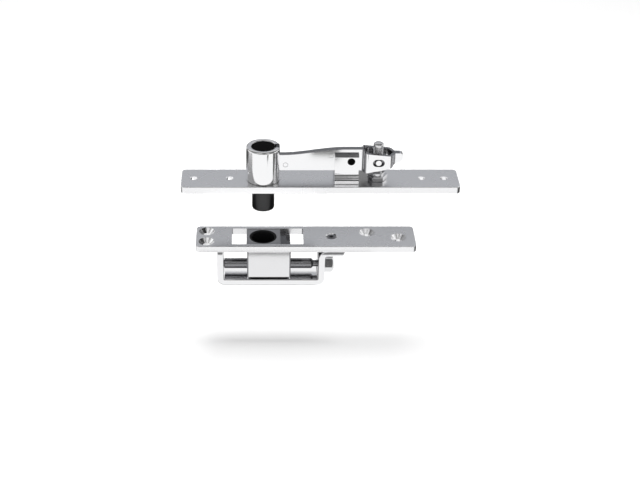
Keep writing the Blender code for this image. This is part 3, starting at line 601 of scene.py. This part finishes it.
# %% Press the two sheets
def lever_sheet(name, side):
    path = [(x * MM, side * y * MM) for x, y in PLAN]
    sheet = draw_and_extrude(
        f"{name}_surface", bent_strip(path, SHEET, 1.2 * MM), "Z", 10 * MM, 40 * MM, 8
    )
    shoulder = [(15.2, 27.9, 0), (10.2, 27.9, 0), (10.2, 22.5, 0), (-5.6, 22.5, 2)]
    corners = list(SIDE) + arm_top() + shoulder
    corners = [(u * MM, v * MM, radius * MM) for u, v, radius in corners]
    low, high = sorted((0, side * DRILL_REACH))
    keep_within(sheet, draw_and_extrude("blank", corners, "Y", low, high, 10))
    cross_pin_slot = (0, CROSS_PIN_Z, 2.4 * MM, 1.2 * MM)
    journal_slot = (SCREW_X, TRUNNION_Z, 3.15 * MM, 1.5 * MM)
    for x, z, radius, run in (cross_pin_slot, journal_slot):
        ends = [
            rod("slot_end", "Y", (at, 0, z), radius, -DRILL_REACH, DRILL_REACH, 48)
            for at in (x - run, x + run)
        ]
        middle = block_between(
            "slot_middle",
            (x - run, -DRILL_REACH, z - radius),
            (x + run, DRILL_REACH, z + radius),
        )
        cut(sheet, *ends, middle)
    cut(sheet, rod("fulcrum_hole", "Y", FULCRUM, FULCRUM_HOLE, -DRILL_REACH, DRILL_REACH, 48))
    for centre in RIVETS.values():
        cut(sheet, rod("rivet_hole", "Y", centre, 2 * MM, -DRILL_REACH, DRILL_REACH, 40))
    break_edges(sheet, 0.2 * MM, 2, 40)
    finish(sheet, "lever", "polished_steel", polished, name)
    # Painted shade: the side ramps of the cage, real press bends, are given the grey steel.
    recolour(sheet, painted_shade_grey, lambda middle, normal: abs(normal.x) > 0.45 and abs(normal.z) < 0.3)
    # Painted shade: the cut edges that look up or down, real sheared edges, are given the dark steel.
    recolour(sheet, painted_edge_shade, lambda middle, normal: abs(normal.y) < 0.3 and abs(normal.z) > 0.3)
    return recolour(sheet, rolled, lambda middle, normal: middle.x > 104 * MM and abs(normal.y) < 0.3)


for name, side in (("lever_sheet_front", -1), ("lever_sheet_rear", 1)):
    lever_sheet(name, side)
for label, centre in RIVETS.items():
    rivet = rod(f"lever_rivet_{label}_surface", "Y", centre, 1.85 * MM, -2.65 * MM, 2.65 * MM, 48)
    break_edges(rivet, 0.25 * MM, 2, 40)
    finish(rivet, "lever", "plated_steel", polished, f"lever_rivet_{label}")

# %% [markdown]
# ## Fulcrum brackets and pin
# Each bracket is a short length of rolled angle with a round root, welded to the plate, and the fulcrum
# pin crosses both. The angle is drawn as it looks from the end, with the root's radius on the inner
# corner, and extruded to its length. The pin is black and sits just inside the bracket's face.

# %% Roll the brackets and set the pin
BRACKET_FROM = 56.5 * MM
BRACKET_TO = 75.5 * MM
for name, side in (("fulcrum_bracket_front", -1), ("fulcrum_bracket_rear", 1)):
    section = (
        (2.95, 6.3, 0),
        (11.05, 6.3, 0),
        (11.05, 9.7, 1),
        (6.35, 9.7, 4),
        (6.35, 29.6, 2.8),
        (2.95, 29.6, 0.4),
    )
    section = [(side * u * MM, v * MM, radius * MM) for u, v, radius in section]
    bracket = draw_and_extrude(f"{name}_surface", section, "X", BRACKET_FROM, BRACKET_TO, 10)
    cut(bracket, rod("pin_hole", "Y", FULCRUM, FULCRUM_HOLE, -14 * MM, 14 * MM, 48))
    break_edges(bracket, 0.2 * MM, 2, 40)
    finish(bracket, "frame_unit", "polished_steel", polished, name)
    # Painted highlight: the front face of the foot is given the matte white.
    recolour(bracket, painted_highlight, lambda middle, normal: normal.y < -0.9 and middle.z < 9.7 * MM)
    # Painted shade: the front edge of the foot's top and the crown are given the dark steel.
    recolour(bracket, painted_edge_shade, lambda middle, normal: middle.y < -9.9 * MM and normal.z > 0.3)
    recolour(bracket, painted_edge_shade, lambda middle, normal: middle.z > 25 * MM and normal.z > 0.25)
    # Painted shade: the rounded edges at the bracket's ends are given the grey steel.
    recolour(bracket, painted_shade_grey, lambda middle, normal: 0.3 < abs(normal.x) < 0.97)
fulcrum_pin = rod("fulcrum_pin_surface", "Y", FULCRUM, 2.8 * MM, -6.05 * MM, 6.05 * MM, 48)
break_edges(fulcrum_pin, 0.3 * MM, 2, 40)
finish(fulcrum_pin, "frame_unit", "black_steel", black_steel, "fulcrum_pin")
# Painted shade: the pin's ends are given the glossless black, dark as a hole.
recolour(fulcrum_pin, painted_shade_black, lambda middle, normal: abs(normal.y) > 0.5)

# %% [markdown]
# ## Trunnion nut and adjusting screw
# The nut is a block with a round journal on each side, so it can tilt in the cage while the screw stays
# upright. The screw is turned from below with a hex key. A hexagonal collar guides it, and a ring above
# the collar keeps it from dropping.

# %% Make the nut
low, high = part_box("trunnion_nut")
nut = block_between(
    "trunnion_nut_surface",
    (SCREW_X - 6.5 * MM, -5.7 * MM, TRUNNION_Z - 4 * MM),
    (SCREW_X + 6.5 * MM, 5.7 * MM, TRUNNION_Z + 4 * MM),
)
break_edges(nut, 1 * MM, 4)
journals = rod("journals", "Y", (SCREW_X, 0, TRUNNION_Z), 2.8 * MM, low.y, high.y, 64)
join(nut, break_edges(journals, 0.6 * MM, 3, 40))
cut(nut, rod("thread", "Z", (SCREW_X, 0, 0), SCREW_WAY, 10 * MM, 40 * MM, 64))
break_edges(nut, 0.25 * MM, 2, 40)
# Painted shade: the nut's whole body is given the dark steel for the inside of the cage; the journals' ends
# keep polished steel.
finish(nut, "trunnion", "plated_steel", dark_steel_and_shade, "trunnion_nut")
recolour(nut, polished, lambda middle, normal: abs(middle.y) > 7 * MM and abs(normal.y) > 0.98)

# %% Turn the screw, the collar and the ring
THREAD_FROM = 14 * MM
THREAD_PITCH = 1.25 * MM
THREAD_ROOT = 3.45 * MM
FLANK = 0.45 * MM
thread = []
for turn_number in range(17):
    groove = THREAD_FROM + turn_number * THREAD_PITCH
    root_end = groove + 0.6 * MM
    thread += [(SCREW_RADIUS, groove), (THREAD_ROOT, groove + FLANK)]
    thread += [(THREAD_ROOT, root_end), (SCREW_RADIUS, root_end + FLANK)]
screw = turned(
    "adjusting_screw_surface",
    (
        (0, 0.3 * MM),
        (5.7 * MM, 0.3 * MM),
        (6 * MM, 0.6 * MM),
        (6 * MM, 3.9 * MM),
        (SCREW_RADIUS, 3.9 * MM),
        *thread,
        (SCREW_RADIUS, 36.4 * MM),
        (3.7 * MM, 36.95 * MM),
        (3.1 * MM, 37.4 * MM),
        (2.2 * MM, 37.75 * MM),
        (1.1 * MM, 37.95 * MM),
        (0, 38 * MM),
    ),
    "Z",
    (SCREW_X, 0, 0),
    64,
)
cut(screw, rod("socket", "Z", (SCREW_X, 0, 0), 2.9 * MM, -MM, 4.3 * MM, 6))
finish(screw, "screw", "plated_steel", threaded_steel, "adjusting_screw")
collar = rod("screw_collar_surface", "Z", (SCREW_X, 0, 0), 8.1 * MM, 6.3 * MM, 10 * MM, 6)
take(collar)
bpy.ops.transform.rotate(value=pi / 6, orient_axis="Z", center_override=(SCREW_X, 0, 0))
break_edges(collar, 0.4 * MM, 3, 40)
join(collar, rod("hub", "Z", (SCREW_X, 0, 0), 5.4 * MM, 7 * MM, 11.7 * MM, 64))
cut(collar, rod("collar_bore", "Z", (SCREW_X, 0, 0), SCREW_WAY, 5 * MM, 14 * MM, 64))
break_edges(collar, 0.2 * MM, 2, 40)
finish(collar, "frame_unit", "plated_steel", turned_steel, "screw_collar")
ring = turned(
    "screw_retaining_ring_surface",
    (
        (SCREW_WAY, 12.0 * MM),
        (SCREW_WAY, 12.9 * MM),
        (5.8 * MM, 12.9 * MM),
        (6 * MM, 12.7 * MM),
        (6 * MM, 12.2 * MM),
        (5.8 * MM, 12.0 * MM),
    ),
    "Z",
    (SCREW_X, 0, 0),
    64,
)
finish(ring, "screw", "plated_steel", turned_steel, "screw_retaining_ring")

# %% [markdown]
# ## Door plate
# The plate on the door is a little wider and thinner than the one above, and it has a window for the
# bearing block. Its screws go down into the door, so the countersinks open upwards. Two of them sit side
# by side at the left end and two are staggered at the right end.

# %% Cut the door plate
DOOR_TOP = -47.7 * MM
DOOR_UNDER = -53.2 * MM
STRAP_SCREW_X = 56 * MM
STRAP_SCREW_HOLE = 2.3 * MM
door_plate = plate_blank("door_plate", (-36, 42, 70, 98))
window = block_between(
    "window", (-25.5 * MM, -12.8 * MM, DOOR_UNDER - MM), (33 * MM, 12.8 * MM, DOOR_TOP + MM)
)
take(window)
bpy.ops.object.mode_set(mode="EDIT")
pick(window, "edges", lambda at: abs(at[0].x - at[1].x) + abs(at[0].y - at[1].y) < MM / 10)
bpy.ops.mesh.bevel(offset=1 * MM, segments=6, affect="EDGES")
cut(door_plate, window)
for number, (x, y) in enumerate(((-46.2, -8.2), (-46.2, 8.2), (85.5, 6.4), (110.8, -1.8))):
    hole = screw_hole(f"hole_{number}", x * MM, y * MM, 3 * MM, 6.4 * MM, DOOR_TOP, DOOR_UNDER)
    cut(door_plate, hole)
cut(
    door_plate,
    screw_hole("hole_strap", STRAP_SCREW_X, 0, STRAP_SCREW_HOLE, 4.8 * MM, DOOR_TOP, DOOR_UNDER),
)
finish(door_plate, "door_unit", "polished_steel", rolled, "door_plate")
cone_top = DOOR_TOP - 0.6 * MM
recolour(door_plate, sunk, lambda middle, normal: middle.z < cone_top and normal.z > 0.3)

# %% [markdown]
# ## Bearing block and bush
# The block is a machined casting. Its tongue fills the middle of the window, with a lower ledge on the
# right, and it is bored for the bush. The body is a cube with rounded edges. The tongue is drawn from the
# front, extruded and joined to it.

# %% Machine the block
low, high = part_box("bearing_block")
block = block_between(
    "bearing_block_surface", (-13.1 * MM, low.y, low.z), (22.6 * MM, high.y, DOOR_UNDER - 0.3 * MM)
)
break_edges(block, 1.2 * MM, 5)
TONGUE_TOP = DOOR_TOP - 0.3 * MM
tongue = (
    (-11.9 * MM, DOOR_UNDER - 2.7 * MM),
    (19.1 * MM, DOOR_UNDER - 2.7 * MM),
    (19.1 * MM, TONGUE_TOP - 3.2 * MM),
    (14.2 * MM, TONGUE_TOP - 3.2 * MM),
    (14.2 * MM, TONGUE_TOP),
    (-13.5 * MM, TONGUE_TOP),
    (-13.5 * MM, DOOR_UNDER),
    (-11.9 * MM, DOOR_UNDER - 1.5 * MM),
)
tongue = [(u, v, 0) for u, v in tongue]
join(block, draw_and_extrude("tongue", tongue, "Y", -12.5 * MM, 12.5 * MM))
SPINDLE = Vector((0, 0, -73.3 * MM))
SPINDLE_WAY = 3.05 * MM
cut(block, rod("bush_bore", "Z", (0, 0, 0), 11.1 * MM, -67 * MM, -40 * MM, 96))
cut(block, rod("spindle_way", "X", SPINDLE, 4.55 * MM, -20 * MM, 30 * MM, 64))
break_edges(block, 0.25 * MM, 2, 50)
finish(block, "block", "satin_steel", satin, "bearing_block")
# Painted shade: the tongue's top, sunk in the window, is given the grey steel.
recolour(block, painted_shade_grey, lambda middle, normal: middle.z > -50 * MM and normal.z > 0.7)
# Painted shade: the ledge and the body's tops on the right, and the tops under the plate, are given the very
# dark steel.
recolour(block, painted_shade_deep, lambda middle, normal: middle.x > 14.3 * MM and normal.z > 0.05)
recolour(block, painted_shade_deep, lambda middle, normal: middle.z < -53 * MM and normal.z > 0.7)
# Painted shade: the rounded upright edges and the bore's walls are given the dark steel.
recolour(block, painted_edge_shade, lambda middle, normal: 0.1 < abs(normal.x) < 0.999 and abs(normal.y) > 0.05)

# %% Turn the bush
bush = turned(
    "bearing_bush_surface",
    (
        (9.35 * MM, -66.7 * MM),
        (9.35 * MM, -48.6 * MM),
        (9.95 * MM, -48 * MM),
        (10.6 * MM, -48 * MM),
        (10.8 * MM, -48.2 * MM),
        (10.8 * MM, -66.7 * MM),
    ),
    "Z",
    (0, 0, 0),
    96,
)
finish(bush, "bush", "black_plastic", black_plastic, "bearing_bush")

# %% [markdown]
# ## Strap, spindle and screws
# The strap is one flat bar, bent three times: up at each end of the cradle and out into a foot under the
# plate. It is drawn as the bent strip that it is, from the front, and extruded to its width. The spindle
# turns in its two legs and pulls the block along.

# %% Bend the strap
STRAP = 5.5 * MM
STRAP_PATH = ((-35.05, -53.5), (-35.05, -83.45), (47.85, -83.45), (47.85, -56.25), (66.7, -56.25))
strap_path = [(x * MM, z * MM) for x, z in STRAP_PATH]
strap_corners = bent_strip(strap_path, STRAP, MM)
TOE = len(STRAP_PATH)
# The foot's bend is rounder than the others, above and below, and so is the lower edge of its toe.
for index, radius in ((TOE - 2, 7.7), (TOE, 3.6), (TOE + 1, 2.2)):
    strap_corners[index] = (*strap_corners[index][:2], radius * MM)
strap = draw_and_extrude("strap_surface", strap_corners, "Y", -14.5 * MM, 14.5 * MM, 12)
break_edges(strap, 0.95 * MM, 4, 40)
cut(strap, rod("spindle_ways", "X", SPINDLE, SPINDLE_WAY, -50 * MM, 60 * MM, 48))
cut(strap, rod("foot_hole", "Z", (STRAP_SCREW_X, 0, 0), STRAP_SCREW_HOLE, -62 * MM, -50 * MM, 48))
break_edges(strap, 0.2 * MM, 2, 60)
finish(strap, "door_unit", "satin_steel", bent_bar, "strap")
# Painted shade: the top of the foot and its bend, under the plate, are given the dark steel.
recolour(strap, painted_edge_shade, lambda middle, normal: middle.x > 0 and middle.z > -62 * MM and normal.z > 0.25)
# Painted highlight: the top end of the left leg, under the plate, is given the matte white.
recolour(strap, painted_highlight, lambda middle, normal: middle.x < 0 and middle.z > -55 * MM and normal.z > 0.1)
# Painted shade: the inner face of the right leg is given the grey steel.
recolour(strap, painted_shade_grey, lambda middle, normal: 40 * MM < middle.x < 46.5 * MM and normal.x < -0.3)

# %% Turn the spindle and its head
spindle = turned(
    "spindle_surface",
    (
        (0, -37.5 * MM),
        (2.75 * MM, -37.5 * MM),
        (2.75 * MM, -32 * MM),
        (3.95 * MM, -32 * MM),
        (4.25 * MM, -31.7 * MM),
        (4.25 * MM, 39.9 * MM),
        (2.75 * MM, 41.4 * MM),
        (2.75 * MM, 58.1 * MM),
        (0, 58.1 * MM),
    ),
    "X",
    SPINDLE,
    64,
)
finish(spindle, "adjuster", "plated_steel", dark_steel_and_shade, "spindle")
head = rod("spindle_head_surface", "X", SPINDLE, 7.5 * MM, 50.9 * MM, 58.4 * MM, 6)
break_edges(head, 0.3 * MM, 3, 40)
HEAD_END = 58.4 * MM
HEAD_CONE = (
    (0, 50 * MM),
    (15 * MM, 50 * MM),
    (15 * MM, HEAD_END - 10 * MM * tan(pi / 6)),
    (5 * MM, HEAD_END),
    (0, HEAD_END),
)
keep_within(head, turned("head_chamfer", HEAD_CONE, "X", SPINDLE, 96))
cut(head, rod("head_bore", "X", SPINDLE, SPINDLE_WAY, 45 * MM, 65 * MM, 48))
finish(head, "adjuster", "plated_steel", turned_steel, "spindle_head")

# %% Turn the strap's screw
strap_screw = turned(
    "strap_screw_surface",
    (
        (0, -58.7 * MM),
        (1.8 * MM, -58.7 * MM),
        (2 * MM, -58.5 * MM),
        (2 * MM, -49.9 * MM),
        (3.8 * MM, -48.1 * MM),
        (3.7 * MM, -48 * MM),
        (0, -48 * MM),
    ),
    "Z",
    (STRAP_SCREW_X, 0, 0),
    64,
)
cut(strap_screw, rod("key", "Z", (STRAP_SCREW_X, 0, 0), 1.8 * MM, -50 * MM, -46 * MM, 6))
finish(strap_screw, "door_unit", "plated_steel", dark_steel_and_shade, "strap_screw")

# %% [markdown]
# ## Studio
# Polished steel shows the room, so the room is the material. The floor in front is white, which makes the
# front faces nearly white. A grey card behind and above gives the plates their mid grey, and darker cards
# at the sides draw the bands down the sleeve. The cards are seen by reflections alone. Small ones stand
# close to the part or between its units, where a face has to reflect something light or dark.


# %% Floor, cards and light
def glow(name, colour, strength):
    """A plain emission that a reflection shows at its own brightness."""
    material = bpy.data.materials.new(name)
    material.use_nodes = True
    nodes, links = material.node_tree.nodes, material.node_tree.links
    nodes.clear()
    shine = nodes.new("ShaderNodeEmission")
    shine.inputs["Color"].default_value = (*colour, 1)
    shine.inputs["Strength"].default_value = strength
    out = nodes.new("ShaderNodeOutputMaterial")
    links.new(shine.outputs[0], out.inputs["Surface"])
    return material


def card(name, centre, size, rotation, brightness, tint=(1, 1, 1)):
    clear_selection()
    bpy.ops.mesh.primitive_plane_add(size=1, location=centre, rotation=rotation)
    obj = name_it(name)
    obj.scale = (*size, 1)
    bpy.ops.object.transform_apply(location=True, rotation=True, scale=True)
    obj.data.materials.append(glow(name, tint, brightness))
    obj.visible_camera = False
    obj.visible_diffuse = False
    obj.visible_shadow = False
    obj.visible_transmission = False
    obj.visible_volume_scatter = False
    return obj


FLOOR_Z = -0.147
clear_selection()
bpy.ops.mesh.primitive_plane_add(size=6, location=(0, 0, FLOOR_Z))
floor = name_it("floor")
bpy.ops.object.transform_apply(location=True, rotation=True, scale=True)
paper = bpy.data.materials.new("white_paper")
paper.use_nodes = True
nodes, links = paper.node_tree.nodes, paper.node_tree.links
shader = nodes["Principled BSDF"]
shader.inputs["Base Color"].default_value = (0.87, 0.87, 0.87, 1)
shader.inputs["Roughness"].default_value = 1
shader.inputs["Specular IOR Level"].default_value = 0
path = nodes.new("ShaderNodeLightPath")
shine = nodes.new("ShaderNodeEmission")
mixed = nodes.new("ShaderNodeMixShader")
links.new(path.outputs["Is Glossy Ray"], mixed.inputs[0])
links.new(shader.outputs[0], mixed.inputs[1])
links.new(shine.outputs[0], mixed.inputs[2])
links.new(mixed.outputs[0], nodes["Material Output"].inputs["Surface"])
floor.data.materials.append(paper)

# %% Cards that the steel reflects
# The room: what is behind, in front, above and at both sides.
card("back_card", (0, 1.3, 0.75), (5, 3), (pi / 2, 0, 0), 0.45, (0.98, 1, 1.05))
card("back_low_card", (0, 1.2, 0.13), (1.6, 0.3), (pi / 2, 0, 0), 0.12)
card("back_high_card", (0, 1.2, 1.9), (4, 1.4), (pi / 2, 0, 0), 0.75)
card("front_wall", (0, -1.3, 0.8), (5, 1.5), (pi / 2, 0, 0), 0.16)
card("ceiling", (0, -0.25, 1.6), (5, 2.3), (0, 0, 0), 0.2)
card("left_wall", (-1.5, 0.2, 0.8), (2.2, 1.5), (pi / 2, 0, pi / 2), 0.28)
card("right_wall", (1.5, 0.2, 0.8), (2.2, 1.5), (pi / 2, 0, pi / 2), 0.1)
# Dark cards beside and behind the part, for the bands down the sleeve and round parts.
card("right_card", (0.24, 0.02, -0.05), (0.25, 0.2), (pi / 2, 0, pi / 2), 0.08)
card("left_card", (-0.24, 0.045, -0.05), (0.19, 0.2), (pi / 2, 0, pi / 2), 0.22)
card("left_far_card", (-0.24, 0.19, -0.05), (0.1, 0.2), (pi / 2, 0, pi / 2), 0.06)
card("back_right_card", (0.14, 0.24, -0.05), (0.26, 0.2), (pi / 2, 0, 0), 0.06)
card("back_left_card", (-0.14, 0.24, -0.05), (0.26, 0.2), (pi / 2, 0, 0), 0.08)
# Small cards round the two units, for the strap, the pin, the spindle's head and the frame plate.
# Painted shadow: a dark card on the floor under the part, seen in reflections only.
card("floor_shadow_card", (-0.027, 0.01, FLOOR_Z + MM), (0.146, 0.13), (0, 0, 0), 0.3)
card("low_white_card", (0.01, 0.045, -0.07), (0.13, 0.036), (pi / 2, 0, 0), 1)
card("bend_shade", (0.0405, 0, -0.06), (0.014, 0.032), (0, pi / 2, 0), 0.02)
card("pin_shade", (0, 0.003, -0.024), (0.084, 0.03), (0, 0, 0), 0.01)
card("head_back_shade", (0.0545, 0.02, -0.0575), (0.014, 0.015), (pi / 2, 0, 0), 0.04)
card("head_front_shade", (0.0545, -0.1, -0.0126), (0.024, 0.016), (pi / 2, 0, 0), 0.07)
card("pin_light", (0, -0.06, -0.036), (0.09, 0.01), (pi / 2, 0, 0), 2)
card("cage_shade", (0.082, 0.013, 0.018), (0.015, 0.024), (pi / 2, 0, 0), 0.2)
card("plate_shade", (0.015, -0.035, -0.06725), (0.15, 0.0035), (pi / 2, 0, 0), 0.2)
# White cards for the walls of the countersinks, and a grey one for the brackets' roots.
card("sink_light_right", (0.16, -0.2, 0.32), (0.12, 0.24), (pi / 2, 0, 0), 1)
card("sink_light_left", (-0.18, -0.2, 0.32), (0.3, 0.24), (pi / 2, 0, 0), 1)
card("sink_light_side", (-0.14, 0.015, 0.007), (0.11, 0.074), (pi / 2, 0, pi / 2), 1)
card("sink_light_end", (0.235, 0.02, 0.065), (0.2, 0.13), (pi / 2, 0, pi / 2), 1)
card("sink_light_back", (-0.2, 0.235, -0.0175), (0.2, 0.115), (pi / 2, 0, 0), 1)
card("sink_light_far", (0.255, 0.235, -0.05), (0.13, 0.05), (pi / 2, 0, 0), 1)
card("root_light", (0.08, -0.2, 0.32), (0.04, 0.24), (pi / 2, 0, 0), 0.35)

# %% World and lamp
world = bpy.data.worlds.new("studio")
bpy.context.scene.world = world
world.use_nodes = True
nodes, links = world.node_tree.nodes, world.node_tree.links
nodes.clear()
path = nodes.new("ShaderNodeLightPath")
seen = nodes.new("ShaderNodeMath")
seen.operation = "MAXIMUM"
links.new(path.outputs["Is Camera Ray"], seen.inputs[0])
links.new(path.outputs["Is Glossy Ray"], seen.inputs[1])
through = nodes.new("ShaderNodeMath")
through.operation = "MAXIMUM"
links.new(seen.outputs[0], through.inputs[0])
links.new(path.outputs["Is Transmission Ray"], through.inputs[1])
white = nodes.new("ShaderNodeBackground")
white.inputs["Color"].default_value = (1, 1, 1, 1)
white.inputs["Strength"].default_value = 1
soft = nodes.new("ShaderNodeBackground")
soft.inputs["Color"].default_value = (1, 1, 1, 1)
soft.inputs["Strength"].default_value = 0.85
either = nodes.new("ShaderNodeMixShader")
links.new(through.outputs[0], either.inputs[0])
links.new(soft.outputs[0], either.inputs[1])
links.new(white.outputs[0], either.inputs[2])
sky = nodes.new("ShaderNodeOutputWorld")
links.new(either.outputs[0], sky.inputs["Surface"])


def softbox(name, location, aim, size, power):
    clear_selection()
    bpy.ops.object.light_add(type="AREA", location=location)
    lamp = bpy.context.object
    lamp.name = name
    lamp.data.shape = "RECTANGLE"
    lamp.data.size, lamp.data.size_y = size
    lamp.data.energy = power
    lamp.rotation_euler = (Vector(aim) - Vector(location)).to_track_quat("-Z", "Y").to_euler()
    lamp.visible_glossy = False
    return lamp


softbox("overhead", (0.025, 0.1, 0.9), (0.025, 0, 0), (0.5, 0.5), 9)
bpy.context.scene.view_settings.view_transform = "Standard"
